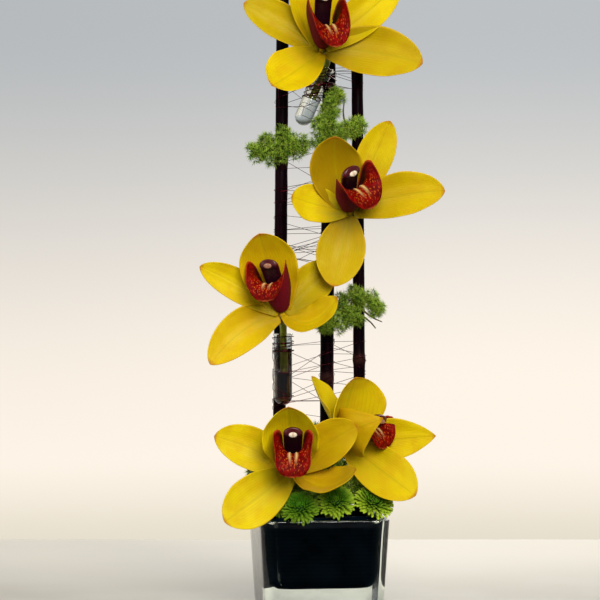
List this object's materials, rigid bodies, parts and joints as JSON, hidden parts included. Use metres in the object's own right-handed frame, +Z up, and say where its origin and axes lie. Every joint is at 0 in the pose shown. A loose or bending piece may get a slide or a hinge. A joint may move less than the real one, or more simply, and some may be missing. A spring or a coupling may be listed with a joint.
{
  "type": "cymbidium orchid arrangement in a glass vase",
  "caption": "Tall upright arrangement of yellow cymbidium orchid blooms tied to dark canes, with needle fern and green button flowers, in a low square glass vase.",
  "frame": {"origin": "middle of the vase's underside", "axes": "+Z up along the canes, -Y towards the front that the blooms face, +X to the right seen from the front"},
  "size_m": [0.1881, 0.1297, 0.545],
  "materials": {
    "glass": "clear thick glass, faintly green at the edges, fire-polished",
    "water": "clear water",
    "leaf": "near-black smooth plant leaf, satin",
    "foam": "soaked green floral foam, matte and crumbly",
    "cane": "dark maroon-black bark, satin, with knots",
    "tepal": "waxy greenish yellow petal, satin, orange-brown at the tip",
    "lip": "deep red waxy petal with yellow speckles and two yellow keels",
    "column": "dark maroon waxy flesh",
    "anther": "cream anther cap, satin",
    "stalk": "olive green flower stalk, satin, flushed red",
    "button": "lime green florets, matte",
    "fern": "lime green needles, matte",
    "wire": "burgundy lacquered florist's wire, metallic"
  },
  "bodies": {
    "root": {"glass_vase": "glass", "leaf_liner": "leaf", "floral_foam": "foam", "cane_left": "cane", "cane_middle": "cane", "cane_right": "cane", "water_tube_top": "glass", "tube_water_top": "water", "water_tube_upper": "glass", "tube_water_upper": "water", "water_tube_lower": "glass", "tube_water_lower": "water", "bloom_top_tepals": "tepal", "bloom_top_lip": "lip", "bloom_top_column": "column", "bloom_top_anther": "anther", "bloom_top_stalk": "stalk", "bloom_upper_tepals": "tepal", "bloom_upper_lip": "lip", "bloom_upper_column": "column", "bloom_upper_anther": "anther", "bloom_upper_stalk": "stalk", "bloom_lower_tepals": "tepal", "bloom_lower_lip": "lip", "bloom_lower_column": "column", "bloom_lower_anther": "anther", "bloom_lower_stalk": "stalk", "bloom_rimLeft_tepals": "tepal", "bloom_rimLeft_lip": "lip", "bloom_rimLeft_column": "column", "bloom_rimLeft_anther": "anther", "bloom_rimLeft_stalk": "stalk", "bloom_rimRight_tepals": "tepal", "bloom_rimRight_lip": "lip", "bloom_rimRight_column": "column", "bloom_rimRight_anther": "anther", "bloom_rimRight_stalk": "stalk", "button_flower_1": "button", "button_flower_2": "button", "button_flower_3": "button", "button_flower_4": "button", "button_flower_5": "button", "button_flower_6": "button", "button_flower_7": "button", "button_flower_8": "button", "button_flower_9": "button", "button_flower_10": "button", "fern_left": "fern", "fern_middle": "fern", "fern_right": "fern", "fern_footLeft": "fern", "fern_footRight": "fern", "wire_winding": "wire"}
  },
  "joints": []
}
